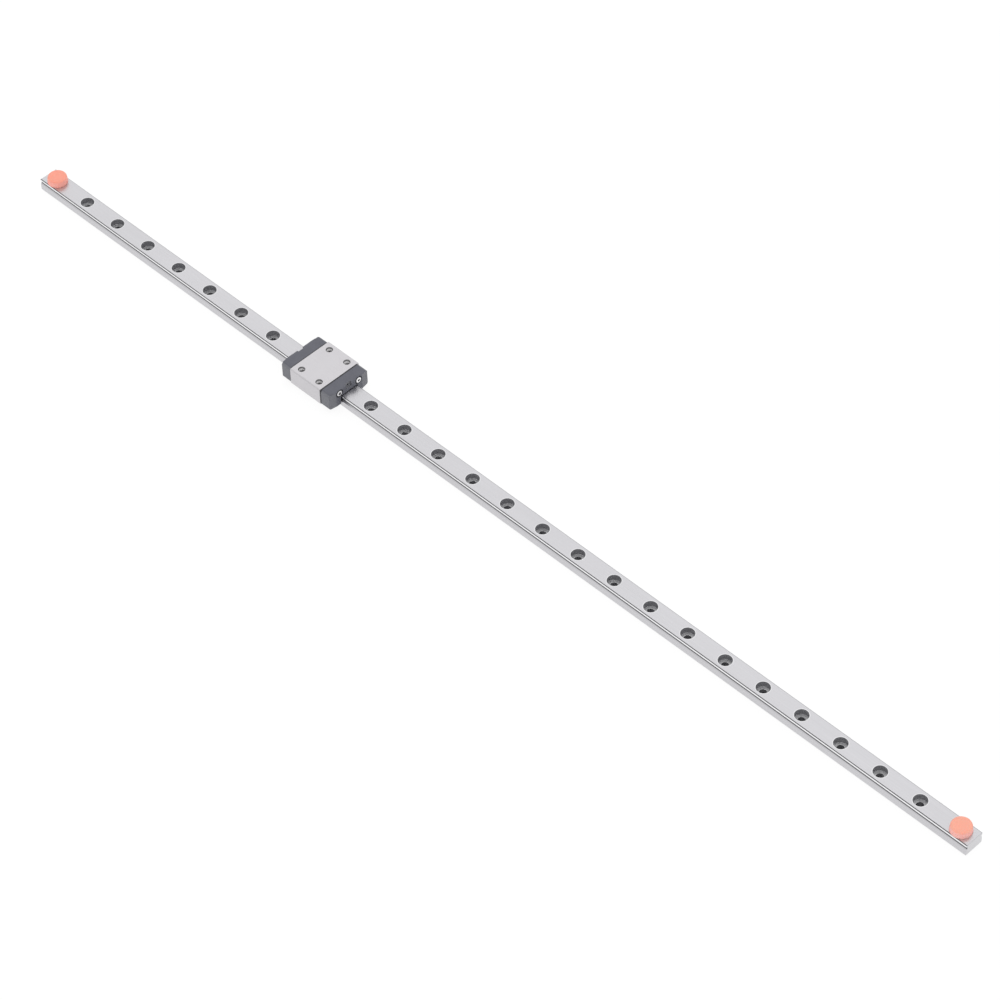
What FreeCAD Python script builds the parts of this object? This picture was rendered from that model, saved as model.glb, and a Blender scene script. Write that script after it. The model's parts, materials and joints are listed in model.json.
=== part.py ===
import FreeCAD, Part
import math
import operator
import os
import Sketcher

# Miniature profile rail guide: a ground steel rail with counterbored holes, a carriage that
# rolls along it on balls in two grooves, and a rubber stop plug in the last hole at each end.
# Millimetres. The origin is the centre of the rail's underside, +X runs along the rail, +Z up.

# Driving dimensions: name, number and what it measures
SIZES = (
    ("rail_length", 400, "rail, end to end"),
    ("rail_width", 7, "rail, side to side"),
    ("rail_height", 4.8, "rail, underside to top face"),
    ("rail_top_chamfer_width", 0.36, "chamfer along the rail's top edges, across the rail"),
    ("rail_top_chamfer_height", 0.2, "chamfer along the rail's top edges, upright"),
    ("rail_foot_chamfer", 0.65, "chamfer round the rail's bottom edges"),
    ("rail_end_chamfer", 0.15, "chamfer at the top and sides of the rail's sawn ends"),
    ("hole_pitch", 15, "from one rail hole to the next"),
    ("hole_end_distance", 5, "least distance from the rail's end to its first hole"),
    ("bolt_hole_diameter", 2.4, "through hole for an M2 screw"),
    ("counterbore_diameter", 4.5, "counterbore for the screw's head"),
    ("counterbore_depth", 2.3, "counterbore, below the rail's top face"),
    ("ball_diameter", 1.588, "balls that carry the carriage, which run in the grooves"),
    ("ball_outset", 0.35, "ball centres, outside the rail's side faces"),
    ("ball_drop", 1.35, "ball centres, below the rail's top face"),
    ("ball_clearance", 0.05, "between a ball and its grooves"),
    ("carriage_position", -66, "carriage centre along the rail, as drawn"),
    ("carriage_rise", 3.2, "carriage's top face, above the rail's top face"),
    ("block_width", 17, "carriage block, side to side"),
    ("block_length", 13.5, "carriage block, without its end caps"),
    ("block_underside", 1.5, "gap below the carriage block"),
    ("block_edge_chamfer", 0.4, "chamfer along the block's outer edges"),
    ("channel_side_gap", 0.8, "between the rail's side and the block's channel"),
    ("channel_top_gap", 0.4, "between the rail's top and the block's channel"),
    ("top_hole_diameter", 2, "threaded M2 holes in the block's top"),
    ("top_hole_depth", 2.5, "threaded holes, below the top face"),
    ("top_hole_countersink", 0.2, "countersink round the threaded holes, as wide as it is deep"),
    ("top_hole_spacing_along", 8, "threaded holes, along the rail"),
    ("top_hole_spacing_across", 12, "threaded holes, across the rail"),
    ("cap_length", 4.5, "end cap, along the rail"),
    ("cap_side_inset", 0.2, "end cap's side, inside the block's side"),
    ("cap_top_inset", 0.15, "end cap's top, below the block's top"),
    ("cap_foot_inset", 0.2, "end cap's underside, above the block's underside"),
    ("cap_top_chamfer", 0.75, "end cap's upper corners, seen from the end"),
    ("cap_foot_chamfer", 0.4, "end cap's lower corners, seen from the end"),
    ("cap_cheek_width", 2.8, "slanted cheeks of the end cap's outer face, across the rail"),
    ("cap_cheek_depth", 0.5, "slanted cheeks, along the rail"),
    ("cap_brow_depth", 0.45, "slanted cut on the end cap's outer top edge, along the rail"),
    ("cap_brow_height", 0.2, "slanted cut on the end cap's outer top edge, upright"),
    ("throat_gap", 0.25, "between the rail and the end cap's throat"),
    ("throat_chamfer", 0.4, "upper corners of the throat"),
    ("notch_width", 2.4, "recess in the middle of the end cap's outer face"),
    ("notch_depth", 0.7, "recess, into the outer face"),
    ("notch_height", 1.6, "recess, down from the end cap's top"),
    ("oil_hole_diameter", 0.7, "grease port in the recess"),
    ("oil_hole_depth", 1.6, "grease port, into the recess's floor"),
    ("oil_hole_drop", 0.9, "grease port, below the end cap's top"),
    ("screw_spacing", 8.2, "end cap screws, across the rail"),
    ("screw_rise", 1.65, "end cap screws, above the rail's top face"),
    ("screw_diameter", 1.4, "end cap screws' shank"),
    ("screw_head_diameter", 2.0, "end cap screws' head"),
    ("screw_head_height", 0.8, "end cap screws' head"),
    ("screw_proud", 0.2, "screw head's face, outside the end cap's outer face"),
    ("screw_clearance", 0.08, "round the screws in their holes"),
    ("screw_grip", 3, "screw's length in the block"),
    ("seal_thickness", 0.8, "wiper seal, along the rail"),
    ("seal_setback", 0.7, "wiper seal's front, behind the end cap's outer face"),
    ("seal_seat", 0.5, "slot in the throat's wall that holds the wiper seal"),
    ("seal_clearance", 0.12, "between the wiper seal and the rail"),
    ("plug_head_diameter", 6.9, "stop plug's head"),
    ("plug_height", 2.4, "stop plug's head, above the rail"),
    ("plug_stem_length", 2.0, "stop plug's stem, in the counterbore"),
    ("plug_stem_clearance", 0.05, "round the stem in the counterbore"),
)


class Size:
    """A number in millimetres together with the spreadsheet formula that gives it."""

    def __init__(self, number, formula):
        self.number = float(number)
        self.formula = str(formula)

    def joined(self, other, sign, rule):
        other = as_size(other)
        formula = f"({self.formula} {sign} {other.formula})"
        return Size(rule(self.number, other.number), formula)

    def __add__(self, other):
        return self.joined(other, "+", operator.add)

    def __sub__(self, other):
        return self.joined(other, "-", operator.sub)

    def __mul__(self, other):
        return self.joined(other, "*", operator.mul)

    def __truediv__(self, other):
        return self.joined(other, "/", operator.truediv)

    def __neg__(self):
        return ZERO - self


def as_size(value):
    if isinstance(value, Size):
        return value
    return Size(value, value)


def root(size):
    return Size(math.sqrt(size.number), f"sqrt({size.formula})")


def whole(size):
    """The whole number at or just below a size."""
    nudge = 1e-6
    return Size(math.floor(size.number + nudge), f"floor({size.formula} + {nudge:f})")


ZERO = Size(0, 0)

doc = FreeCAD.newDocument("rail_guide")
sheet = doc.addObject("Spreadsheet::Sheet", "Sizes")
size = {}
for row, (name, number, note) in enumerate(SIZES, start=1):
    sheet.set(f"A{row}", note)
    sheet.set(f"B{row}", str(number))
    sheet.setAlias(f"B{row}", name)
    size[name] = Size(number, f"Sizes.{name}")
doc.recompute()

# Places that several pieces share
rail_side = size["rail_width"] / 2
hole_room = size["rail_length"] - size["hole_end_distance"] * 2
hole_count = whole(hole_room / size["hole_pitch"]) + 1
hole_row = size["hole_pitch"] * (hole_count - 1)
last_hole = hole_row / 2
ball_side = rail_side + size["ball_outset"]
ball_height = size["rail_height"] - size["ball_drop"]
ball_radius = size["ball_diameter"] / 2
groove_radius = ball_radius + size["ball_clearance"]
block_end = size["block_length"] / 2
screw_side = size["screw_spacing"] / 2
screw_height = size["rail_height"] + size["screw_rise"]
screw_hole_radius = size["screw_diameter"] / 2 + size["screw_clearance"]
carriage_top = size["rail_height"] + size["carriage_rise"]
cap_top = carriage_top - size["cap_top_inset"]
cap_foot = size["block_underside"] + size["cap_foot_inset"]
cap_side = size["block_width"] / 2 - size["cap_side_inset"]
throat_side = rail_side + size["throat_gap"]
throat_top = size["rail_height"] + size["throat_gap"]
seal_front = size["cap_length"] - size["seal_setback"]
screw_face = size["cap_length"] + size["screw_proud"]


def bind(thing, path, value):
    thing.setExpression(path, as_size(value).formula)


def new_body(name):
    body = doc.addObject("PartDesign::Body", name)
    body.Label = name
    return body


def place(piece, x, y, z, turned=False):
    """Put a piece in the frame, turned half round about Z for the rear end."""
    turn = FreeCAD.Rotation(FreeCAD.Vector(0, 0, 1), 180 if turned else 0)
    spot = FreeCAD.Vector(*(as_size(part).number for part in (x, y, z)))
    piece.Placement = FreeCAD.Placement(spot, turn)
    for axis, value in zip("xyz", (x, y, z)):
        bind(piece, f"Placement.Base.{axis}", value)


def origin_plane(body, role):
    return next(item for item in body.Origin.OriginFeatures if item.Role == role)


def new_sketch(body, name, role, shift_x=ZERO, shift_z=ZERO):
    """A sketch on one of the body's planes, shifted in the sketch's own x and along its normal."""
    sketch = body.newObject("Sketcher::SketchObject", name)
    sketch.AttachmentSupport = [(origin_plane(body, role), "")]
    sketch.MapMode = "FlatFace"
    bind(sketch, "AttachmentOffset.Base.x", shift_x)
    bind(sketch, "AttachmentOffset.Base.z", shift_z)
    return sketch


def fix(sketch, kind, value, *where):
    number = sketch.addConstraint(Sketcher.Constraint(kind, *where, value.number))
    bind(sketch, f"Constraints[{number}]", value)


def fix_point(sketch, geometry, end, corner):
    fix(sketch, "DistanceX", as_size(corner[0]), -1, 1, geometry, end)
    fix(sketch, "DistanceY", as_size(corner[1]), -1, 1, geometry, end)


def vector(corner):
    return FreeCAD.Vector(as_size(corner[0]).number, as_size(corner[1]).number, 0)


def arc_through(start, middle, end):
    """The arc from start to end, drawn anticlockwise as sketches keep it."""
    if (middle - start).cross(end - middle).z < 0:
        start, end = end, start
    return Part.Arc(start, middle, end)


def outline(sketch, corners, arcs=None):
    """Draw a closed outline and fix every corner with its formulas.

    arcs gives, by a side's number, the point at the middle of its arc and the arc's radius.
    """
    arcs = arcs or {}
    spots = [vector(corner) for corner in corners]
    sides = []
    for side, start in enumerate(spots):
        end = spots[(side + 1) % len(spots)]
        if side in arcs:
            shape = arc_through(start, vector(arcs[side][0]), end)
        else:
            shape = Part.LineSegment(start, end)
        geometry = sketch.addGeometry(shape)
        begins = 1 if sketch.getPoint(geometry, 1).distanceToPoint(start) < 1e-6 else 2
        sides.append((geometry, begins, 3 - begins))
    for side, (geometry, begins, ends) in enumerate(sides):
        after, after_begins, after_ends = sides[(side + 1) % len(sides)]
        sketch.addConstraint(Sketcher.Constraint("Coincident", geometry, ends, after, after_begins))
        fix_point(sketch, geometry, begins, corners[side])
        if side in arcs:
            fix(sketch, "Radius", arcs[side][1], geometry)


def circles(sketch, centres, radius):
    for centre in centres:
        shape = Part.Circle(vector(centre), FreeCAD.Vector(0, 0, 1), radius.number)
        geometry = sketch.addGeometry(shape)
        fix(sketch, "Radius", radius, geometry)
        fix_point(sketch, geometry, 3, centre)


def symmetric(corners, arcs=None):
    """Close a right half, drawn upwards, with its mirror image about the sketch's y axis."""
    arcs = dict(arcs or {})
    last_side = 2 * len(corners) - 2
    for side, (middle, radius) in list(arcs.items()):
        arcs[last_side - side] = ((-middle[0], middle[1]), radius)
    mirrored = [(-x, y) for x, y in reversed(corners)]
    return corners + mirrored, arcs


def pad(body, sketch, length, both_ways=False):
    feature = body.newObject("PartDesign::Pad", f"{sketch.Name}_pad")
    feature.Profile = sketch
    feature.SideType = "Symmetric" if both_ways else "One side"
    bind(feature, "Length", length)
    doc.recompute()
    return feature


def pocket(body, sketch, depth=None):
    """Cut a sketch into the body, to a depth against the sketch's normal or right through."""
    before = body.Shape.Volume
    feature = body.newObject("PartDesign::Pocket", f"{sketch.Name}_pocket")
    feature.Profile = sketch
    if depth is None:
        feature.SideType = "Symmetric"
        feature.Type = "ThroughAll"
    else:
        bind(feature, "Length", depth)
    doc.recompute()
    if body.Shape.Volume >= before:
        raise RuntimeError(f"{feature.Name} cuts nothing")
    return feature


def revolve(body, sketch, axis):
    feature = body.newObject("PartDesign::Revolution", f"{sketch.Name}_turned")
    feature.Profile = sketch
    feature.ReferenceAxis = (sketch, [axis])
    feature.Angle = 360
    doc.recompute()
    return feature


# Rail
def make_rail():
    """The rail's section is one half outline and its mirror image, with a ball groove a side."""
    body = new_body("rail")
    top = size["rail_height"]
    edge = size["rail_top_chamfer_width"]
    edge_drop = size["rail_top_chamfer_height"]
    foot = size["rail_foot_chamfer"]
    reach = root(groove_radius * groove_radius - size["ball_outset"] * size["ball_outset"])
    half = [
        (rail_side - foot, ZERO),
        (rail_side, foot),
        (rail_side, ball_height - reach),
        (rail_side, ball_height + reach),
        (rail_side, top - edge_drop),
        (rail_side - edge, top),
    ]
    groove = {2: ((ball_side - groove_radius, ball_height), groove_radius)}
    section = new_sketch(body, "rail_section", "YZ_Plane")
    outline(section, *symmetric(half, groove))
    pad(body, section, size["rail_length"], both_ways=True)

    end = size["rail_length"] / 2
    cut = size["rail_end_chamfer"]
    for name, role, low, low_cut, high in (
        ("end_top_edges", "XZ_Plane", ZERO, foot, top),
        ("end_side_edges", "XY_Plane", -rail_side, cut, rail_side),
    ):
        edges = new_sketch(body, name, role)
        for sign in (1, -1):
            x = end * sign
            outline(edges, [(x - cut * sign, high), (x, high - cut), (x, high)])
            outline(edges, [(x - low_cut * sign, low), (x, low + low_cut), (x, low)])
        pocket(body, edges)

    bolt = size["bolt_hole_diameter"] / 2
    bore = size["counterbore_diameter"] / 2
    floor = top - size["counterbore_depth"]
    hole = new_sketch(body, "hole_section", "XZ_Plane", shift_x=-last_hole)
    outline(hole, [
        (ZERO, ZERO),
        (bolt, ZERO),
        (bolt, floor),
        (bore, floor),
        (bore, top),
        (ZERO, top),
    ])
    first = body.newObject("PartDesign::Groove", "counterbored_hole")
    first.Profile = hole
    first.ReferenceAxis = (hole, ["V_Axis"])
    first.Angle = 360
    doc.recompute()
    row = body.newObject("PartDesign::LinearPattern", "hole_row")
    row.Originals = [first]
    row.Direction = (hole, ["H_Axis"])
    bind(row, "Length", hole_row)
    bind(row, "Occurrences", hole_count)
    body.Tip = row
    doc.recompute()
    return body


# Carriage block
def make_block():
    body = new_body("carriage_block")
    top = carriage_top
    foot = size["block_underside"]
    side = size["block_width"] / 2
    edge = size["block_edge_chamfer"]
    wall = rail_side + size["channel_side_gap"]
    ceiling = size["rail_height"] + size["channel_top_gap"]
    outset = wall - ball_side
    reach = root(groove_radius * groove_radius - outset * outset)
    half = [
        (wall, ceiling),
        (wall, ball_height + reach),
        (wall, ball_height - reach),
        (wall, foot),
        (side - edge, foot),
        (side, foot + edge),
        (side, top - edge),
        (side - edge, top),
    ]
    groove = {1: ((ball_side + groove_radius, ball_height), groove_radius)}
    section = new_sketch(body, "block_section", "YZ_Plane")
    outline(section, *symmetric(half, groove))
    pad(body, section, size["block_length"], both_ways=True)

    along = size["top_hole_spacing_along"] / 2
    across = size["top_hole_spacing_across"] / 2
    spots = [(x, y) for x in (-along, along) for y in (-across, across)]
    holes = new_sketch(body, "top_holes", "XY_Plane", shift_z=top)
    circles(holes, spots, size["top_hole_diameter"] / 2)
    pocket(body, holes, size["top_hole_depth"])
    sink = size["top_hole_countersink"]
    mouths = new_sketch(body, "top_hole_mouths", "XY_Plane", shift_z=top)
    circles(mouths, spots, size["top_hole_diameter"] / 2 + sink)
    countersinks = pocket(body, mouths, sink)
    countersinks.TaperAngle = -45
    doc.recompute()

    screws = new_sketch(body, "block_screw_holes", "YZ_Plane", shift_z=block_end)
    spots = [(y, screw_height) for y in (-screw_side, screw_side)]
    circles(screws, spots, screw_hole_radius)
    front = pocket(body, screws, size["screw_grip"] + size["screw_clearance"])
    rear = body.newObject("PartDesign::Mirrored", "rear_screw_holes")
    rear.Originals = [front]
    rear.MirrorPlane = (origin_plane(body, "YZ_Plane"), [""])
    body.Tip = rear
    doc.recompute()
    place(body, size["carriage_position"], ZERO, ZERO)
    return body


def place_at_end(piece, end, y=ZERO, z=ZERO):
    """Put a piece drawn outwards from the block's end face at the front or the rear end."""
    if end == "rear":
        place(piece, size["carriage_position"] - block_end, -y, z, turned=True)
    else:
        place(piece, size["carriage_position"] + block_end, y, z)


# End caps
def make_end_cap(end):
    """A moulded cap, drawn from the block's end face outwards, with a throat for the rail."""
    body = new_body(f"end_cap_{end}")
    top_cut = size["cap_top_chamfer"]
    foot_cut = size["cap_foot_chamfer"]
    corner = size["throat_chamfer"]
    length = size["cap_length"]
    section = new_sketch(body, f"cap_section_{end}", "YZ_Plane")
    outline(section, *symmetric([
        (throat_side - corner, throat_top),
        (throat_side, throat_top - corner),
        (throat_side, cap_foot),
        (cap_side - foot_cut, cap_foot),
        (cap_side, cap_foot + foot_cut),
        (cap_side, cap_top - top_cut),
        (cap_side - top_cut, cap_top),
    ]))
    pad(body, section, length)

    cheek_back = length - size["cap_cheek_depth"]
    cheek_side = cap_side - size["cap_cheek_width"]
    for name, sign in (("left", 1), ("right", -1)):
        corner_cut = new_sketch(body, f"{name}_cheek_{end}", "XY_Plane")
        outline(corner_cut, [
            (cheek_back, cap_side * sign),
            (length, cheek_side * sign),
            (length, cap_side * sign),
        ])
        pocket(body, corner_cut)
    brow_back = length - size["cap_brow_depth"]
    brow_foot = cap_top - size["cap_brow_height"]
    brow_cut = new_sketch(body, f"brow_{end}", "XZ_Plane")
    outline(brow_cut, [(brow_back, cap_top), (length, brow_foot), (length, cap_top)])
    pocket(body, brow_cut)

    notch_side = size["notch_width"] / 2
    notch_foot = cap_top - size["notch_height"]
    notch = new_sketch(body, f"notch_{end}", "YZ_Plane", shift_z=length)
    outline(notch, symmetric([(notch_side, notch_foot), (notch_side, cap_top)])[0])
    pocket(body, notch, size["notch_depth"])
    port = new_sketch(body, f"oil_hole_{end}", "YZ_Plane", shift_z=length - size["notch_depth"])
    circles(port, [(ZERO, cap_top - size["oil_hole_drop"])], size["oil_hole_diameter"] / 2)
    pocket(body, port, size["oil_hole_depth"])

    spots = [(y, screw_height) for y in (-screw_side, screw_side)]
    bores = new_sketch(body, f"screw_bores_{end}", "YZ_Plane", shift_z=length)
    circles(bores, spots, size["screw_head_diameter"] / 2 + size["screw_clearance"])
    pocket(body, bores, size["screw_head_height"] - size["screw_proud"])
    shanks = new_sketch(body, f"screw_holes_{end}", "YZ_Plane", shift_z=length)
    circles(shanks, spots, screw_hole_radius)
    pocket(body, shanks, length)

    slot = new_sketch(body, f"seal_slot_{end}", "YZ_Plane", shift_z=seal_front)
    outline(slot, *seal_seat_outline())
    pocket(body, slot, size["seal_thickness"])
    place_at_end(body, end)
    return body


def seal_seat_outline():
    """The slot for the wiper seal: the throat, widened into its side walls."""
    side = throat_side + size["seal_seat"]
    return symmetric([
        (side, cap_foot),
        (side, throat_top - size["throat_chamfer"]),
        (throat_side - size["throat_chamfer"], throat_top),
    ])


# Wiper seals
def make_wiper_seal(end):
    """A rubber lip in the cap's slot, with a tongue that follows each ball groove."""
    body = new_body(f"wiper_seal_{end}")
    gap = size["seal_clearance"]
    wall = rail_side + gap
    ceiling = size["rail_height"] + gap
    edge = size["rail_top_chamfer_width"]
    edge_drop = size["rail_top_chamfer_height"]
    outset = size["ball_outset"] - gap
    radius = groove_radius - gap
    reach = root(radius * radius - outset * outset)
    seat = seal_seat_outline()[0]
    inner = [
        (wall - edge, ceiling),
        (wall, ceiling - edge_drop),
        (wall, ball_height + reach),
        (wall, ball_height - reach),
        (wall, cap_foot),
    ]
    tongue = {2: ((ball_side - radius, ball_height), radius)}
    section = new_sketch(body, f"seal_section_{end}", "YZ_Plane", shift_z=seal_front)
    outline(section, *symmetric(inner + seat[:3], tongue))
    feature = pad(body, section, size["seal_thickness"])
    feature.Reversed = True
    doc.recompute()
    place_at_end(body, end)
    return body


# End cap screws
def make_cap_screw(end, name, sign):
    """A cylinder head screw, turned about its own axis."""
    body = new_body(f"cap_screw_{end}_{name}")
    shank = size["screw_diameter"] / 2
    head = size["screw_head_diameter"] / 2
    under = screw_face - size["screw_head_height"]
    profile = new_sketch(body, f"screw_profile_{end}_{name}", "XY_Plane")
    outline(profile, [
        (-size["screw_grip"], ZERO),
        (screw_face, ZERO),
        (screw_face, head),
        (under, head),
        (under, shank),
        (-size["screw_grip"], shank),
    ])
    revolve(body, profile, "H_Axis")
    place_at_end(body, end, y=screw_side * sign, z=screw_height)
    return body


# Stop plugs
def make_stop_plug(end, sign):
    """A rubber plug turned about Z: a round head on the rail and a stem in the counterbore."""
    body = new_body(f"stop_plug_{end}")
    stem = size["counterbore_diameter"] / 2 - size["plug_stem_clearance"]
    head = size["plug_head_diameter"] / 2
    height = size["plug_height"]
    profile = new_sketch(body, f"plug_profile_{end}", "XZ_Plane")
    outline(profile, [
        (ZERO, -size["plug_stem_length"]),
        (stem, -size["plug_stem_length"]),
        (stem, ZERO),
        (head, ZERO),
        (head, height),
        (ZERO, height),
    ])
    revolve(body, profile, "V_Axis")
    place(body, last_hole * sign, ZERO, size["rail_height"])
    return body


pieces = [make_rail(), make_block()]
for end in ("front", "rear"):
    pieces.append(make_end_cap(end))
    pieces.append(make_wiper_seal(end))
    for name, sign in (("left", 1), ("right", -1)):
        pieces.append(make_cap_screw(end, name, sign))
for end, sign in (("front", 1), ("rear", -1)):
    pieces.append(make_stop_plug(end, sign))
doc.recompute()

for item in doc.Objects:
    if "Invalid" in item.State or "Error" in item.State:
        raise RuntimeError(f"{item.Label} failed: {item.State}")
for piece in pieces:
    if piece.Shape.isNull() or not piece.Shape.isValid():
        raise RuntimeError(f"{piece.Label} has no valid shape")

os.makedirs("parts", exist_ok=True)
for piece in pieces:
    piece.Shape.exportStep(f"parts/{piece.Label}.step")
    box = piece.Shape.BoundBox
    print(f"{piece.Label}: {len(piece.Shape.Solids)} solids, {piece.Shape.Volume:.2f} mm3,",
          f"x {box.XMin:.2f} to {box.XMax:.2f}, y {box.YMin:.2f} to {box.YMax:.2f},",
          f"z {box.ZMin:.2f} to {box.ZMax:.2f}")
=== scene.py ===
"""Dresses the linear guide: a ground steel rail, its ball carriage and a soft plug near each end."""
import json
import math

import bmesh
import bpy
import numpy as np
from mathutils import Matrix, Vector


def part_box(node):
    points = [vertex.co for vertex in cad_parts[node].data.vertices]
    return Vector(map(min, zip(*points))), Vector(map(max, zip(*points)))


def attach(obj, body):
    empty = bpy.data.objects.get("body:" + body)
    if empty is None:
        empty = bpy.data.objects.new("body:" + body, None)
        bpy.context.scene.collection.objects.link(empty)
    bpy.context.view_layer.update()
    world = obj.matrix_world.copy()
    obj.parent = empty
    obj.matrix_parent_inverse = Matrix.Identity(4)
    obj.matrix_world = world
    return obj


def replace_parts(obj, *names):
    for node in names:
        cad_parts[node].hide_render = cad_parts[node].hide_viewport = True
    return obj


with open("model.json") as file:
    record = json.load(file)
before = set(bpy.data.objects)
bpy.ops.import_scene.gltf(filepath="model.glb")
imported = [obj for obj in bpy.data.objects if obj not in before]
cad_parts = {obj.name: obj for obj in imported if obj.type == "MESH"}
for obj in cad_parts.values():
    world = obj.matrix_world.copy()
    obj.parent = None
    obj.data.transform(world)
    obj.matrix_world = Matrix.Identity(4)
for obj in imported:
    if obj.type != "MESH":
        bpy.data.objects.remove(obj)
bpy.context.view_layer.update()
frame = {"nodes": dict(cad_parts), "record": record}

# Units and places, in millimetres, read from the frame where it has them
MM = 0.001
FULL_TURN = 2.0 * math.pi


def box_mm(node):
    """The lowest and highest corner of a CAD node, in millimetres."""
    low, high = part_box(node)
    return np.array(low) / MM, np.array(high) / MM


def mount(name):
    """The record's mount of that name."""
    return next(entry for entry in frame["record"]["mounts"] if entry["name"] == name)


RAIL_END, RAIL_SIDE, RAIL_TOP = box_mm("rail")[1]
HOLE_PITCH = mount("rail_holes_15")["dims"]["spacing_x_mm"] / 2.0
COUNTERBORE_RADIUS = 2.25
SEAT_HEIGHT = 2.5
TOP_CHAMFER_WIDTH = 0.36
TOP_CHAMFER_HEIGHT = 0.2
GROOVE_DEPTH = 0.494
GROOVE_TOP = 4.22

BLOCK_LOW, BLOCK_HIGH = box_mm("carriage_block")
BLOCK_MIDDLE = (BLOCK_LOW[0] + BLOCK_HIGH[0]) / 2.0
BLOCK_HALF_LENGTH = (BLOCK_HIGH[0] - BLOCK_LOW[0]) / 2.0
BLOCK_TOP = BLOCK_HIGH[2]
TOP_HOLES = mount("carriage_bolts")
TOP_HOLE_X = TOP_HOLES["dims"]["spacing_x_mm"] / 2.0
TOP_HOLE_Y = TOP_HOLES["dims"]["spacing_y_mm"] / 2.0
TOP_HOLE_RADIUS = TOP_HOLES["dims"]["hole_r_mm"]
TOP_HOLE_DEPTH = 2.5

CAP_LOW, CAP_HIGH = box_mm("end_cap_front")
CAP_LENGTH = CAP_HIGH[0] - CAP_LOW[0]
CAP_TOP = CAP_HIGH[2]
CHEEK_WIDTH = 2.8
NOTCH_HALF_WIDTH = 1.2
NOTCH_DEPTH = 0.7
NOTCH_HEIGHT = 1.6

SCREW_LOW, SCREW_HIGH = box_mm("cap_screw_front_left")
SCREW_Y, SCREW_Z = ((SCREW_LOW + SCREW_HIGH) / 2.0)[1:]
SCREW_HEAD_RADIUS = (SCREW_HIGH[1] - SCREW_LOW[1]) / 2.0
SCREW_FACE = SCREW_HIGH[0] - BLOCK_MIDDLE
SOCKET_HALF_WIDTH = 0.43

PLUG_TOP = box_mm("stop_plug_front")[1][2]


class Value:
    """A number that varies over a surface. Arithmetic on it adds Math nodes."""

    def __init__(self, finish, socket):
        self.finish = finish
        self.socket = socket

    def __add__(self, other):
        return self.finish.math("ADD", self, other)

    def __sub__(self, other):
        return self.finish.math("SUBTRACT", self, other)

    def __rsub__(self, other):
        return self.finish.math("SUBTRACT", other, self)

    def __mul__(self, other):
        return self.finish.math("MULTIPLY", self, other)

    def __abs__(self):
        return self.finish.math("ABSOLUTE", self)

    __radd__ = __add__
    __rmul__ = __mul__


class Finish:
    """A material, or the world, under construction: its node tree and the nodes that it is made of."""

    def __init__(self, owner):
        owner.use_nodes = True
        self.owner = owner
        self.tree = owner.node_tree
        self.tree.nodes.clear()

    def node(self, kind, settings=None, sockets=None, output=0):
        """Adds a node: first its settings, a ramp's stops among them, then its sockets' values or links."""
        node = self.tree.nodes.new(kind)
        for name, value in (settings or {}).items():
            if name == "stops":
                set_stops(node.color_ramp, value)
            else:
                setattr(node, name, value)
        for key, value in (sockets or {}).items():
            if isinstance(value, Value):
                self.tree.links.new(value.socket, node.inputs[key])
            else:
                node.inputs[key].default_value = value
        return Value(self, node.outputs[output]) if node.outputs else None

    def math(self, operation, *values):
        """One Math node on values or plain numbers."""
        return self.node("ShaderNodeMath", {"operation": operation}, dict(enumerate(values)))

    def distance(self, first, second):
        """The length of a step with these two sides."""
        return self.math("SQRT", first * first + second * second)

    def place(self):
        """The object coordinates, in millimetres."""
        vector = self.node("ShaderNodeTexCoord", output="Object")
        return self.node("ShaderNodeMapping", sockets={"Vector": vector, "Scale": (1 / MM, 1 / MM, 1 / MM)})

    def parts(self, vector):
        """The three numbers of a vector."""
        return [self.node("ShaderNodeSeparateXYZ", sockets={"Vector": vector}, output=axis) for axis in "XYZ"]

    def noise(self, vector, waves, detail=2.0, roughness=0.5):
        """Noise from 0 to 1 with that many waves to a millimetre along each axis."""
        stretched = self.node("ShaderNodeMapping", sockets={"Vector": vector, "Scale": waves})
        values = {"Vector": stretched, "Scale": 1.0, "Detail": detail, "Roughness": roughness}
        return self.node("ShaderNodeTexNoise", sockets=values)

    def grain(self, vector, waves, detail, roughness):
        """Noise with its middle half stretched to 0 to 1."""
        return self.rise(self.noise(vector, waves, detail, roughness), 0.25, 0.75)

    def rise(self, value, low, high):
        """A smooth step: 0 at low, 1 at high. With low above high it falls."""
        values = {"Value": value, "From Min": low, "From Max": high}
        return self.node("ShaderNodeMapRange", {"interpolation_type": "SMOOTHSTEP"}, values)

    def above(self, value, limit, soft):
        """1 where the value is above the limit, fading to 0 over a soft edge below it."""
        return self.rise(value, limit - soft, limit)

    def below(self, value, limit, soft):
        """1 where the value is below the limit, fading to 0 over a soft edge above it."""
        return self.rise(value, limit + soft, limit)

    def blend(self, factor, first, second):
        """A colour between two colours, each another blend or a red, green and blue."""
        first, second = (
            colour if isinstance(colour, Value) else (*colour, 1.0) for colour in (first, second)
        )
        return self.node("ShaderNodeMix", {"data_type": "RGBA"}, {0: factor, 6: first, 7: second}, output=2)

    def paint(self, colour, *layers):
        """Lays tones over a colour in turn. A layer is a mask, the tone's share there, and the tone."""
        for mask, share, tone in layers:
            colour = self.blend(mask * share, colour, tone)
        return colour

    def relief(self, height, depth_mm, edge_mm):
        """A normal from a height of 0 to 1 over that depth, on edges softened over that radius."""
        softened = self.node("ShaderNodeBevel", {"samples": 6}, {"Radius": edge_mm * MM})
        values = {"Height": height, "Distance": depth_mm * MM, "Strength": 1.0, "Normal": softened}
        return self.node("ShaderNodeBump", sockets=values)

    def surface(self, **sockets):
        """Ends the tree in a Principled shader. Socket names are given with _ for each space."""
        named = {key.replace("_", " "): value for key, value in sockets.items()}
        shader = self.node("ShaderNodeBsdfPrincipled", sockets=named)
        self.node("ShaderNodeOutputMaterial", sockets={"Surface": shader})
        return self.owner


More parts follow.
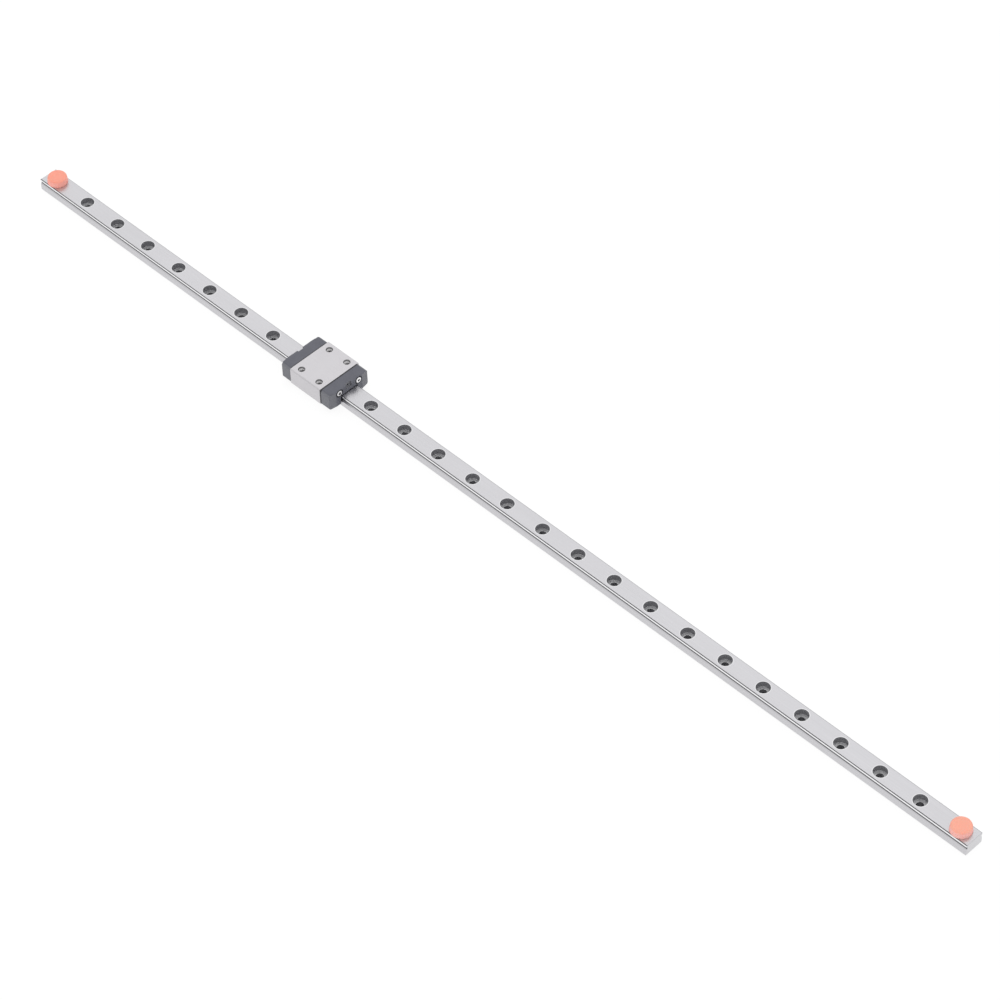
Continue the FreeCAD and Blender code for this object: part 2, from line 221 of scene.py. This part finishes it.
def set_stops(ramp, stops):
    """Gives a colour ramp its stops, each a place from 0 to 1 and a grey level."""
    ramp.interpolation = "EASE"
    while len(ramp.elements) < len(stops):
        ramp.elements.new(1.0)
    for element, (place, grey) in zip(ramp.elements, stops):
        element.position = place
        element.color = (grey, grey, grey, 1.0)


def new_finish(name):
    """An empty material to build a finish in."""
    return Finish(bpy.data.materials.new(name))


# Finishes. Bands are in millimetres, and one that begins or ends at a face clears it by a few times SKIN
SKIN = 0.01
LIP_BAND = 0.1
FAR_EDGE_FADE = 0.65
GROOVE_BAND = 0.08
GROOVE_BACK = 0.2
GROOVE_FOOT = 2.4
GROOVE_HEAD = 0.5
RIM_BAND = 0.2


def rail_steel():
    """Ground steel with lengthwise lines: a painted highlight on the lip, between a painted dark reflection
    on the edge chamfer and painted shade in the groove.

    The far edge's painted dark reflection is fainter, and the sawn end faces are even in tone. The holes have
    a painted highlight round the rim, dark walls that are partly dark oxide and partly painted shade, and a
    seat for the bolt head painted bright as painted light.
    """
    finish = new_finish("rail_steel")
    vector = finish.place()
    x, y, z = finish.parts(vector)
    side = abs(y)
    chamfer_top = RAIL_SIDE - TOP_CHAMFER_WIDTH
    chamfer_foot = RAIL_TOP - TOP_CHAMFER_HEIGHT
    groove_floor = RAIL_SIDE - GROOVE_DEPTH
    from_hole = finish.distance(finish.math("WRAP", x, HOLE_PITCH / 2.0, -HOLE_PITCH / 2.0), y)

    lines = finish.grain(vector, waves=(0.035, 7.0, 7.0), detail=4.0, roughness=0.65)
    drift = finish.noise(vector, waves=(0.02, 0.1, 0.1), detail=1.0)
    # Painted highlight on the lip, the rail's side above the groove
    lip = finish.above(side, RAIL_SIDE - LIP_BAND, soft=0.06) * finish.above(z, GROOVE_TOP, soft=0.05)
    # Painted dark reflection on the top edge chamfers, fainter on the far side
    edge = finish.above(side, chamfer_top - SKIN, soft=0.03) * (1.0 - lip)
    edge = edge * finish.above(z, chamfer_foot + 2.0 * SKIN, soft=0.04)
    edge = edge * (1.0 - finish.rise(y, -1.0, 1.0) * FAR_EDGE_FADE)
    # Painted shade in the deepest part of each groove
    groove = finish.below(side, groove_floor + GROOVE_BAND, soft=0.09)
    groove = groove * finish.above(side, groove_floor - GROOVE_BACK, soft=0.2)
    groove = groove * finish.above(z, GROOVE_FOOT, soft=0.4)
    groove = groove * finish.below(z, RAIL_TOP - GROOVE_HEAD, soft=0.2)
    groove = groove * finish.below(abs(x), RAIL_END - 5.0 * SKIN, soft=0.03)
    # Painted highlight round the mouth of each counterbore
    rim = finish.below(from_hole, COUNTERBORE_RADIUS + RIM_BAND, soft=0.1)
    rim = rim * finish.above(z, RAIL_TOP - SKIN, soft=0.01)
    end_face = finish.above(abs(x), RAIL_END - SKIN, soft=0.02)
    # Counterbore walls painted dark, partly dark oxide and partly painted shade, and the seat painted bright
    # as painted light
    bore = finish.below(from_hole, COUNTERBORE_RADIUS + 2.0 * SKIN, soft=0.04)
    bore = bore * finish.below(z, RAIL_TOP - 4.0 * SKIN, soft=0.03) * finish.above(z, 5.0 * SKIN, soft=0.03)
    seat = finish.below(abs(z - SEAT_HEIGHT), 3.0 * SKIN, soft=0.03)
    wall = bore * (1.0 - seat)

    ground = finish.blend(lines * 0.6 + drift * 0.4, (0.56, 0.555, 0.575), (0.65, 0.645, 0.668))
    drilled = finish.blend(seat, (0.245, 0.245, 0.262), (0.8, 0.8, 0.81))
    colour = finish.paint(
        ground,
        (lip, 1.0, (0.92, 0.92, 0.93)),
        (edge, 0.95, (0.08, 0.08, 0.085)),
        (groove, 0.9, (0.09, 0.09, 0.095)),
        (rim, 0.6, (0.82, 0.82, 0.83)),
        (end_face, 0.8, (0.65, 0.647, 0.662)),
        (bore, 1.0, drilled),
    )
    return finish.surface(
        Base_Color=colour,
        Metallic=1.0 - wall * 0.85,
        Roughness=0.27 + lines * 0.1 + bore * 0.23,
        Normal=finish.relief(lines, depth_mm=0.003, edge_mm=0.03),
    )


TOP_HOLE_BAND = 0.18
MOUTH_DEPTH = 0.35
DEEP_SHADE_DEPTH = 1.5


def block_steel():
    """Satin steel, a little warmer than the rail, with fine lines along the slide.

    The threads in the top holes are painted pale as painted light, with a painted dark reflection at the
    mouth and painted shade deep in the hole.
    """
    finish = new_finish("block_steel")
    vector = finish.place()
    x, y, z = finish.parts(vector)
    from_hole = finish.distance(abs(x - BLOCK_MIDDLE) - TOP_HOLE_X, abs(y) - TOP_HOLE_Y)

    lines = finish.grain(vector, waves=(0.12, 8.0, 8.0), detail=3.0, roughness=0.6)
    cloud = finish.noise(vector, waves=(0.25, 0.25, 0.25))
    # Painted light on the threads in the top holes, which would otherwise lie in shade
    hole = finish.below(from_hole, TOP_HOLE_RADIUS + TOP_HOLE_BAND, soft=0.04)
    hole = hole * finish.below(z, BLOCK_TOP - 6.0 * SKIN, soft=0.05)
    hole = hole * finish.above(z, BLOCK_TOP - TOP_HOLE_DEPTH - 10.0 * SKIN, soft=0.2)
    # Painted dark reflection on the countersink at each hole's mouth
    mouth = hole * finish.above(z, BLOCK_TOP - MOUTH_DEPTH, soft=0.1)
    # Painted shade deep in each hole
    deep_shade = hole * finish.below(z, BLOCK_TOP - DEEP_SHADE_DEPTH, soft=0.25)

    satin = finish.blend(lines * 0.5 + cloud * 0.5, (0.57, 0.557, 0.578), (0.64, 0.627, 0.648))
    colour = finish.paint(
        satin,
        (hole, 0.9, (0.92, 0.91, 0.92)),
        (mouth, 0.9, (0.1, 0.1, 0.105)),
        (deep_shade, 0.85, (0.12, 0.12, 0.125)),
    )
    return finish.surface(
        Base_Color=colour,
        Metallic=1.0,
        Roughness=0.3 + lines * 0.1,
        Normal=finish.relief(lines, depth_mm=0.003, edge_mm=0.15),
    )


def from_screw_axis(finish, y, z):
    """The distance from the axis of the nearest cap screw."""
    return finish.distance(abs(y) - SCREW_Y, z - SCREW_Z)


JOINT_BAND = 0.3
SCREW_RING = 0.38
CHEEK_FADE = 0.35
CHEEK_HEAD = 0.4


def cap_plastic():
    """Charcoal moulded plastic with a fine spark-eroded grain, with painted shade in the joint and round the
    screws.

    The notch with the grease port, the slanted cheeks and the sides are painted paler than the rest, as
    painted light.
    """
    finish = new_finish("cap_plastic")
    vector = finish.place()
    x, y, z = finish.parts(vector)
    from_block = abs(x - BLOCK_MIDDLE) - BLOCK_HALF_LENGTH
    cheek_start = CAP_HIGH[1] - CHEEK_WIDTH

    grain = finish.grain(vector, waves=(7.0, 7.0, 7.0), detail=2.0, roughness=0.5)
    cloud = finish.noise(vector, waves=(0.4, 0.4, 0.4))
    # Painted shade in the joint to the block and in the counterbores round the screw heads
    joint = finish.below(from_block, JOINT_BAND, soft=0.2)
    ring = finish.below(from_screw_axis(finish, y, z), SCREW_HEAD_RADIUS + SCREW_RING, soft=0.17)
    ring = ring * finish.above(from_block, CAP_LENGTH - 10.0 * SKIN, soft=0.1)
    gap_shade = finish.math("MAXIMUM", joint, ring)
    # Painted light in the notch, which would otherwise lie in shade
    notch = finish.below(abs(y), NOTCH_HALF_WIDTH + 2.0 * SKIN, soft=0.04)
    notch = notch * finish.above(from_block, CAP_LENGTH - NOTCH_DEPTH - 4.0 * SKIN, soft=0.04)
    notch = notch * finish.below(from_block, CAP_LENGTH - 8.0 * SKIN, soft=0.06)
    notch = notch * finish.above(z, CAP_TOP - NOTCH_HEIGHT - 2.0 * SKIN, soft=0.04)
    # Painted light on the slanted cheeks and the sides
    cheek = finish.above(abs(y), cheek_start + CHEEK_FADE, soft=0.4)
    cheek = cheek * finish.below(z, CAP_TOP - CHEEK_HEAD, soft=0.3) * (1.0 - gap_shade)

    charcoal = finish.blend(grain * 0.4 + cloud * 0.6, (0.089, 0.091, 0.112), (0.133, 0.137, 0.166))
    colour = finish.paint(
        charcoal,
        (gap_shade, 0.85, (0.02, 0.02, 0.023)),
        (notch, 0.8, (0.2, 0.203, 0.22)),
        (cheek, 0.55, (0.2, 0.203, 0.22)),
    )
    return finish.surface(
        Base_Color=colour,
        # The painted shade round the screws is made metallic as well, which keeps it dark
        Metallic=ring * 0.8,
        Roughness=0.45 + grain * 0.14,
        Normal=finish.relief(grain, depth_mm=0.012, edge_mm=0.12),
    )


def seal_rubber():
    """Charcoal rubber, dull and faintly pitted."""
    finish = new_finish("seal_rubber")
    pits = finish.noise(finish.place(), waves=(6.0, 6.0, 6.0), detail=3.0)
    return finish.surface(
        Base_Color=finish.blend(pits, (0.06, 0.061, 0.068), (0.1, 0.102, 0.112)),
        Roughness=0.7,
        Normal=finish.relief(pits, depth_mm=0.01, edge_mm=0.05),
    )


SOCKET_BAND = 0.15
SOCKET_DARK_DEPTH = 0.22


def screw_steel():
    """Bright plated steel, with painted shade inside the driver socket."""
    finish = new_finish("screw_steel")
    vector = finish.place()
    x, y, z = finish.parts(vector)
    depth = SCREW_FACE - abs(x - BLOCK_MIDDLE)

    haze = finish.noise(vector, waves=(5.0, 5.0, 5.0), detail=3.0)
    # Painted shade inside the driver socket, below its mouth
    socket_shade = finish.below(from_screw_axis(finish, y, z), SOCKET_HALF_WIDTH + SOCKET_BAND, soft=0.05)
    socket_shade = socket_shade * finish.above(depth, SOCKET_DARK_DEPTH, soft=0.1)

    plating = finish.blend(haze, (0.86, 0.86, 0.87), (0.95, 0.95, 0.96))
    return finish.surface(
        Base_Color=finish.blend(socket_shade, plating, (0.04, 0.04, 0.044)),
        Metallic=1.0,
        Roughness=0.2 + haze * 0.12,
        Normal=finish.relief(haze, depth_mm=0.003, edge_mm=0.02),
    )


def ball_steel():
    """Polished bearing steel with a trace of oil haze."""
    finish = new_finish("ball_steel")
    haze = finish.noise(finish.place(), waves=(3.0, 3.0, 3.0))
    return finish.surface(
        Base_Color=finish.blend(haze, (0.78, 0.78, 0.8), (0.86, 0.86, 0.87)),
        Metallic=1.0,
        Roughness=0.06 + haze * 0.08,
    )


PLUG_SIDE_HEAD = 0.8


def plug_rubber():
    """Soft coral rubber with a dull skin, a little uneven in colour, with painted light on its paler, pinker
    side.

    The front plug is paler than the rear one.
    """
    finish = new_finish("plug_rubber")
    vector = finish.place()
    x, _, z = finish.parts(vector)

    cloud = finish.noise(vector, waves=(0.5, 0.5, 0.5), detail=3.0)
    skin = finish.noise(vector, waves=(4.0, 4.0, 4.0), detail=3.0)
    shade = cloud * 0.7 + skin * 0.3
    forward = finish.rise(x, -RAIL_END, RAIL_END)
    # Painted light on the plug's side, below its top
    side = finish.below(z, PLUG_TOP - PLUG_SIDE_HEAD, soft=0.5)

    rear = finish.blend(shade, (0.945, 0.335, 0.24), (0.985, 0.38, 0.28))
    front = finish.blend(shade, (0.945, 0.39, 0.285), (0.985, 0.44, 0.325))
    side_light_tone = finish.blend(forward, (1.0, 0.42, 0.36), (1.0, 0.5, 0.46))
    return finish.surface(
        Base_Color=finish.paint(finish.blend(forward, rear, front), (side, 0.8, side_light_tone)),
        Roughness=0.5 + skin * 0.15,
        Normal=finish.relief(skin, depth_mm=0.012, edge_mm=0.05),
        Subsurface_Weight=0.15,
        Subsurface_Radius=(1.0, 0.4, 0.3),
        Subsurface_Scale=0.6 * MM,
    )


FINISHES = {
    "rail_steel": rail_steel(),
    "block_steel": block_steel(),
    "cap_plastic": cap_plastic(),
    "seal_rubber": seal_rubber(),
    "screw_steel": screw_steel(),
    "ball_steel": ball_steel(),
    "plug_rubber": plug_rubber(),
}
NODE_FINISHES = {
    "rail": "rail_steel",
    "carriage_block": "block_steel",
    "end_cap_front": "cap_plastic",
    "end_cap_rear": "cap_plastic",
    "wiper_seal_front": "seal_rubber",
    "wiper_seal_rear": "seal_rubber",
}
for node_name, finish_name in NODE_FINISHES.items():
    for material_slot in frame["nodes"][node_name].material_slots:
        material_slot.material = FINISHES[finish_name]


# Surfaces from arrays
MERGE_DISTANCE = 0.0001


def grid_quads(rows, columns):
    """The quads of a grid whose last column joins its first, as rows of four point numbers."""
    row, column = np.meshgrid(np.arange(rows - 1), np.arange(columns), indexing="ij")
    following = (column + 1) % columns
    corners = (row * columns + column, row * columns + following)
    corners += ((row + 1) * columns + following, (row + 1) * columns + column)
    return np.stack(corners, axis=-1).reshape(-1, 4)


def copies(grid, offsets):
    """A grid of points repeated at each offset: all points in one array, and their quads."""
    rows, columns = grid.shape[:2]
    points = grid.reshape(1, -1, 3) + np.asarray(offsets).reshape(-1, 1, 3)
    first = np.arange(len(points)).reshape(-1, 1, 1) * (rows * columns)
    quads = grid_quads(rows, columns)[None] + first
    return points.reshape(-1, 3), quads.reshape(-1, 4)


def add_piece(name, points, quads, body, slot, smooth_angle):
    """Makes a piece from points in millimetres: merges seams and poles, then turns all faces outward.

    Edges that turn by more than the smooth angle, in degrees, stay sharp.
    """
    mesh = bpy.data.meshes.new(name)
    mesh.from_pydata((points * MM).tolist(), [], quads.tolist())
    work = bmesh.new()
    work.from_mesh(mesh)
    bmesh.ops.remove_doubles(work, verts=work.verts, dist=MERGE_DISTANCE * MM)
    bmesh.ops.recalc_face_normals(work, faces=work.faces)
    work.to_mesh(mesh)
    work.free()
    mesh.polygons.foreach_set("use_smooth", np.ones(len(mesh.polygons), dtype=bool))
    mesh.set_sharp_from_angle(angle=math.radians(smooth_angle))
    mesh.materials.append(FINISHES[slot])
    piece = bpy.data.objects.new(name, mesh)
    bpy.context.scene.collection.objects.link(piece)
    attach(piece, body)
    return piece


def arc(centre, radius, first, last, steps):
    """Points on an arc from one angle to another, in degrees, as pairs of radius and height."""
    angle = np.radians(np.linspace(first, last, steps))
    return np.stack((centre[0] + radius * np.cos(angle), centre[1] + radius * np.sin(angle)), axis=-1)


def revolved(profile, columns):
    """A profile of radii and heights carried round the upright axis through the origin."""
    angle = np.arange(columns) * FULL_TURN / columns
    radius = profile[:, :1]
    height = np.broadcast_to(profile[:, 1:], (len(profile), columns))
    return np.stack((radius * np.cos(angle), radius * np.sin(angle), height), axis=-1)


# The stop plugs
PLUG_STEM_RADIUS = 2.2
PLUG_STEM_CHAMFER = 0.3
PLUG_FOOT_RADIUS = 3.45
PLUG_TOP_RADIUS = 3.25
PLUG_FOOT_ROUND = 0.12
PLUG_EDGE_ROUND = 0.75
PLUG_LEAN = 5.0
PLUG_DISH = 0.05
PLUG_COLUMNS = 72


def add_stop_plug(node, name):
    """A stem in the counterbore under a tapered button, its profile carried round the hole's axis.

    The profile is straight lines, a rounded foot and a round top edge that meet the leaning side smoothly,
    and a top that sinks from its edge to its middle by one less the square of the radius.
    """
    low, high = box_mm(node)
    stem_end, seat, top = low[2] - RAIL_TOP, 0.0, high[2] - RAIL_TOP
    edge = np.array((PLUG_TOP_RADIUS - PLUG_EDGE_ROUND, top - PLUG_EDGE_ROUND))
    foot = np.array((PLUG_FOOT_RADIUS - PLUG_FOOT_ROUND, seat + PLUG_FOOT_ROUND))
    inward = np.linspace(1.0, 0.0, 8)
    face = np.stack((edge[0] * inward, top - PLUG_DISH * (1.0 - inward ** 2)), axis=-1)
    profile = np.concatenate((
        [(0.0, stem_end), (PLUG_STEM_RADIUS - PLUG_STEM_CHAMFER, stem_end)],
        [(PLUG_STEM_RADIUS, stem_end + PLUG_STEM_CHAMFER), (PLUG_STEM_RADIUS, seat)],
        arc(foot, PLUG_FOOT_ROUND, first=-90.0, last=PLUG_LEAN, steps=8),
        arc(edge, PLUG_EDGE_ROUND, first=PLUG_LEAN, last=90.0, steps=12),
        face[1:],
    ))
    middle = (low + high) / 2.0
    points, quads = copies(revolved(profile, PLUG_COLUMNS), [(middle[0], middle[1], RAIL_TOP)])
    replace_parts(add_piece(name, points, quads, "rail", "plug_rubber", smooth_angle=50.0), node)


for end in ("front", "rear"):
    add_stop_plug(f"stop_plug_{end}", f"soft_plug_{end}")


# The end cap screws
SCREW_HEAD_HEIGHT = 0.8
SCREW_EDGE_ROUND = 0.18
SCREW_CROWN = 0.07
SCREW_CORE_RADIUS = 0.53
SCREW_SHANK_RADIUS = 0.7
SCREW_PITCH = 0.3
SCREW_TIP = 0.25
SCREW_TIP_SHARE = 0.6
SCREW_FACE_ROWS = 26
SCREW_SHANK_ROWS = 170
SCREW_TIP_ROWS = 2
SCREW_COLUMNS = 72
RIDGE_CREST = 1.15
RIDGE_SLOPE = 1.3

SOCKET_DEPTH = 0.5
SOCKET_WALL = 0.06
SOCKET_FLOOR_SLOPE = 0.25


def screw_profile(length):
    """Radii and depths from the middle of the head to the tip.

    The face's depth goes with the square of the radius, its edge is a quarter round, and the shank and the
    tip are straight lines.
    """
    flat = SCREW_HEAD_RADIUS - SCREW_EDGE_ROUND
    radius = np.linspace(0.0, flat, SCREW_FACE_ROWS)
    face = np.stack((radius, SCREW_CROWN * (radius / flat) ** 2), axis=-1)
    edge = arc((flat, SCREW_CROWN + SCREW_EDGE_ROUND), SCREW_EDGE_ROUND, first=-90.0, last=0.0, steps=7)
    under = [(SCREW_HEAD_RADIUS, SCREW_HEAD_HEIGHT), (SCREW_SHANK_RADIUS, SCREW_HEAD_HEIGHT)]
    depth = np.linspace(SCREW_HEAD_HEIGHT, length - SCREW_TIP, SCREW_SHANK_ROWS)
    shank = np.stack((np.full_like(depth, SCREW_CORE_RADIUS), depth), axis=-1)
    tip = [(SCREW_CORE_RADIUS * SCREW_TIP_SHARE, length), (0.0, length)]
    return np.concatenate((face, edge[1:], under, shank, tip))


def socket_depth(radius, angle):
    """How deep the driver socket is: a hexagon with steep walls, whose floor sinks a little to its middle.

    A point is as far from the middle of the hexagon as it reaches along the best of three directions, which
    are a sixth of a turn apart.
    """
    turned = angle + np.arange(3)[:, None, None] * math.pi / 3.0
    from_middle = np.abs(radius * np.cos(turned)).max(axis=0)
    inside = np.clip(0.5 - (from_middle - SOCKET_HALF_WIDTH) / SOCKET_WALL, 0.0, 1.0)
    return inside * (SOCKET_DEPTH - SOCKET_FLOOR_SLOPE * radius)


def thread_height(depth, angle, length):
    """How far the thread stands out of the core: a ridge across each turn, which fades out at the tip.

    The place across a turn is the depth, in pitches, less the angle, in turns. The ridge falls evenly from
    the middle of the turn to both sides, and is cut flat at its crest and at the core.
    """
    across = (depth / SCREW_PITCH - angle / FULL_TURN) % 1.0
    ridge = np.clip(RIDGE_CREST - np.abs(2.0 * across - 1.0) * RIDGE_SLOPE, 0.0, 1.0)
    fade = np.clip((length - SCREW_TIP - depth) / SCREW_PITCH, 0.0, 1.0)
    return (SCREW_SHANK_RADIUS - SCREW_CORE_RADIUS) * ridge * fade


def add_screw(node, name, outward, socket_turn):
    """A cap screw: radius and depth on a grid of rows along its profile and columns round its axis.

    The socket is added to the depth of the face, and the thread to the radius of the shank.
    """
    low, high = box_mm(node)
    length = high[0] - low[0]
    profile = screw_profile(length)
    angle = np.arange(SCREW_COLUMNS) * FULL_TURN / SCREW_COLUMNS
    radius = np.repeat(profile[:, :1], SCREW_COLUMNS, axis=1)
    depth = np.repeat(profile[:, 1:], SCREW_COLUMNS, axis=1)
    face = slice(0, SCREW_FACE_ROWS)
    shank = slice(-SCREW_TIP_ROWS - SCREW_SHANK_ROWS, -SCREW_TIP_ROWS)
    depth[face] += socket_depth(radius[face], angle + socket_turn)
    radius[shank] += thread_height(depth[shank], angle, length)
    middle = (low + high) / 2.0
    face_x = high[0] if outward > 0 else low[0]
    points = np.stack((
        face_x - outward * depth,
        middle[1] + radius * np.cos(angle),
        middle[2] + radius * np.sin(angle),
    ), axis=-1).reshape(-1, 3)
    quads = grid_quads(len(profile), SCREW_COLUMNS)
    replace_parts(add_piece(name, points, quads, "carriage", "screw_steel", smooth_angle=30.0), node)


# How far each driver socket is turned, in radians
SOCKET_TURNS = {"front_left": 0.72, "front_right": 0.86, "rear_left": 0.2, "rear_right": 1.25}
for place, turn in SOCKET_TURNS.items():
    add_screw(f"cap_screw_{place}", f"screw_{place}", 1.0 if "front" in place else -1.0, turn)


# The threads in the carriage's top holes
THREAD_PITCH = 0.4
THREAD_BASE_RADIUS = 1.004
THREAD_CREST_RADIUS = 0.8
THREAD_HALF_WIDTH = 0.19
THREAD_CREST_SHARE = 0.15
THREAD_FIRST_DEPTH = 0.25
THREAD_LAST_DEPTH = 2.25
THREAD_FADE = 3.0
THREAD_LEAST_SIZE = 0.02
THREAD_STEPS = 40


def add_hole_threads():
    """A ridge with sloping flanks and a narrow crest, carried along a helix in each top hole.

    Its size is the distance from the nearer end, in turns, times the fade, up to one.
    """
    turns = (THREAD_LAST_DEPTH - THREAD_FIRST_DEPTH) / THREAD_PITCH
    along = np.linspace(0.0, 1.0, int(turns * THREAD_STEPS) + 1)[:, None]
    angle = along * turns * FULL_TURN
    middle = -THREAD_FIRST_DEPTH - along * (THREAD_LAST_DEPTH - THREAD_FIRST_DEPTH)
    size = np.clip(np.minimum(along, 1.0 - along) * turns * THREAD_FADE, THREAD_LEAST_SIZE, 1.0)
    crest = THREAD_BASE_RADIUS - (THREAD_BASE_RADIUS - THREAD_CREST_RADIUS) * size
    base = np.full_like(crest, THREAD_BASE_RADIUS)
    radius = np.concatenate((base, crest, crest, base), axis=1)
    lift = THREAD_HALF_WIDTH * size * np.array((1.0, THREAD_CREST_SHARE, -THREAD_CREST_SHARE, -1.0))
    ridge = np.stack((radius * np.cos(angle), radius * np.sin(angle), middle + lift), axis=-1)
    first_tip, last_tip = (
        section.mean(axis=1, keepdims=True).repeat(4, axis=1) for section in (ridge[:1], ridge[-1:])
    )
    ridge = np.concatenate((first_tip, ridge, last_tip))
    corners = np.array([(1, 1, 0), (1, -1, 0), (-1, 1, 0), (-1, -1, 0)]) * (TOP_HOLE_X, TOP_HOLE_Y, 0)
    points, quads = copies(ridge, np.array(TOP_HOLES["pos_m"]) / MM + corners)
    add_piece("top_hole_threads", points, quads, "carriage", "block_steel", smooth_angle=30.0)


add_hole_threads()


# The loaded ball rows
BALL_RADIUS = 0.794
BALL_OUTSET = 0.35
BALL_DROP = 1.35
BALL_PITCH = 1.68
BALL_ROWS = 19
BALL_COLUMNS = 32


def add_ball_row(name, side):
    """Balls in a row along the slide, each a half circle carried round its upright axis."""
    ball = revolved(arc((0.0, 0.0), BALL_RADIUS, first=-90.0, last=90.0, steps=BALL_ROWS), BALL_COLUMNS)
    count = int(2.0 * BLOCK_HALF_LENGTH / BALL_PITCH)
    x = BLOCK_MIDDLE + (np.arange(count) - (count - 1) / 2.0) * BALL_PITCH
    y = np.full(count, side * (RAIL_SIDE + BALL_OUTSET))
    z = np.full(count, RAIL_TOP - BALL_DROP)
    points, quads = copies(ball, np.stack((x, y, z), axis=-1))
    add_piece(name, points, quads, "carriage", "ball_steel", smooth_angle=60.0)


add_ball_row("ball_row_left", 1.0)
add_ball_row("ball_row_right", -1.0)


# The stage, in metres: a white floor, a soft dome and one large lamp
FLOOR_HALF = 60.0
FLOOR_PAINT = (0.9, 0.9, 0.9, 1.0)
FLOOR_GLOW = (1.0, 1.0, 1.0, 1.0)
FLOOR_WHITE = 1.05
FLOOR_OWN_LIGHT = 0.85
COVERED_BAND_MM = 0.2


def add_floor():
    """A flat floor: white to the eye and in metal, with a faint shadow, and dark under the rail."""
    finish = new_finish("studio_floor")
    x, y, _ = finish.parts(finish.place())
    open_side = finish.above(abs(y), RAIL_SIDE - COVERED_BAND_MM, soft=0.6)
    open_end = finish.above(abs(x), RAIL_END - COVERED_BAND_MM, soft=0.6)
    uncovered = finish.math("MAXIMUM", open_side, open_end)
    camera_ray, glossy_ray, transmission_ray = (
        finish.node("ShaderNodeLightPath", output=name)
        for name in ("Is Camera Ray", "Is Glossy Ray", "Is Transmission Ray")
    )
    seen = finish.math("MAXIMUM", finish.math("MAXIMUM", camera_ray, glossy_ray), transmission_ray)
    paint = finish.node("ShaderNodeBsdfDiffuse", sockets={"Color": FLOOR_PAINT})
    glow = finish.node("ShaderNodeEmission", sockets={"Color": FLOOR_GLOW, "Strength": FLOOR_WHITE})
    own_light = seen * uncovered * FLOOR_OWN_LIGHT
    mixed = finish.node("ShaderNodeMixShader", sockets={0: own_light, 1: paint, 2: glow})
    finish.node("ShaderNodeOutputMaterial", sockets={"Surface": mixed})
    corners = np.array([(-1, -1, 0), (1, -1, 0), (1, 1, 0), (-1, 1, 0)]) * FLOOR_HALF
    mesh = bpy.data.meshes.new("floor")
    mesh.from_pydata(corners.tolist(), [], [(0, 1, 2, 3)])
    mesh.materials.append(finish.owner)
    floor = bpy.data.objects.new("floor", mesh)
    bpy.context.scene.collection.objects.link(floor)


DOME_STOPS = (
    (0.0, 1.0), (0.16, 1.0), (0.28, 0.9), (0.45, 0.9), (0.6, 0.94), (0.8, 0.98), (0.9, 1.1), (1.0, 1.12),
)


def add_dome():
    """A pale dome, faintly greyer part way up and brightest overhead, by the sine of the height."""
    world = bpy.data.worlds.new("studio_dome")
    bpy.context.scene.world = world
    finish = Finish(world)
    direction = finish.node("ShaderNodeTexCoord", output="Generated")
    height = finish.node("ShaderNodeSeparateXYZ", sockets={"Vector": direction}, output="Z")
    grey = finish.node("ShaderNodeValToRGB", {"stops": DOME_STOPS}, {"Fac": height})
    light = finish.node("ShaderNodeBackground", sockets={"Color": grey, "Strength": 1.0})
    finish.node("ShaderNodeOutputWorld", sockets={"Surface": light})


LAMP_HEADING = math.radians(136.0)
LAMP_ELEVATION = math.radians(50.0)
LAMP_DISTANCE = 1.9
LAMP_SIZE = 1.7
LAMP_RADIANCE = 0.15


def heading_vector(heading, elevation):
    """The direction at a heading from +X towards +Y and an elevation above the horizon."""
    level = math.cos(elevation)
    return Vector((level * math.cos(heading), level * math.sin(heading), math.sin(elevation)))


def add_lamp():
    """One large soft lamp behind the rail, aimed at its middle, which adds a little to the dome's light."""
    lamp = bpy.data.lights.new("soft_lamp", "AREA")
    lamp.shape = "SQUARE"
    lamp.size = LAMP_SIZE
    lamp.energy = LAMP_RADIANCE * math.pi * LAMP_SIZE ** 2
    holder = bpy.data.objects.new("soft_lamp", lamp)
    bpy.context.scene.collection.objects.link(holder)
    holder.location = heading_vector(LAMP_HEADING, LAMP_ELEVATION) * LAMP_DISTANCE
    holder.rotation_euler = holder.location.to_track_quat("Z", "Y").to_euler()


# The camera, found by fitting the rail's edges and holes to the photograph
CAMERA_ELEVATION = math.radians(47.42369)
CAMERA_HEADING = math.radians(136.09282)
CAMERA_ROLL = math.radians(1.733233)
CAMERA_LENS = 136.447
RAIL_MIDDLE_IN_VIEW = Vector((-8.31898, 3.26566, -1166.13342)) * MM


def add_camera():
    """Looks along its heading, down by its elevation, and rolls about its line of sight."""
    forward = heading_vector(CAMERA_HEADING, -CAMERA_ELEVATION)
    level = Vector((math.sin(CAMERA_HEADING), -math.cos(CAMERA_HEADING), 0.0))
    down = forward.cross(level)
    right = level * math.cos(CAMERA_ROLL) + down * math.sin(CAMERA_ROLL)
    up = level * math.sin(CAMERA_ROLL) - down * math.cos(CAMERA_ROLL)
    turn = Matrix((right, up, -forward)).transposed()
    lens = bpy.data.cameras.new("camera")
    lens.lens = CAMERA_LENS
    lens.clip_end = 4.0 * FLOOR_HALF
    camera = bpy.data.objects.new("camera", lens)
    bpy.context.scene.collection.objects.link(camera)
    camera.matrix_world = Matrix.Translation(-(turn @ RAIL_MIDDLE_IN_VIEW)) @ turn.to_4x4()
    bpy.context.scene.camera = camera


add_floor()
add_dome()
add_lamp()
add_camera()
bpy.context.scene.view_settings.view_transform = "Standard"

bpy.context.view_layer.update()
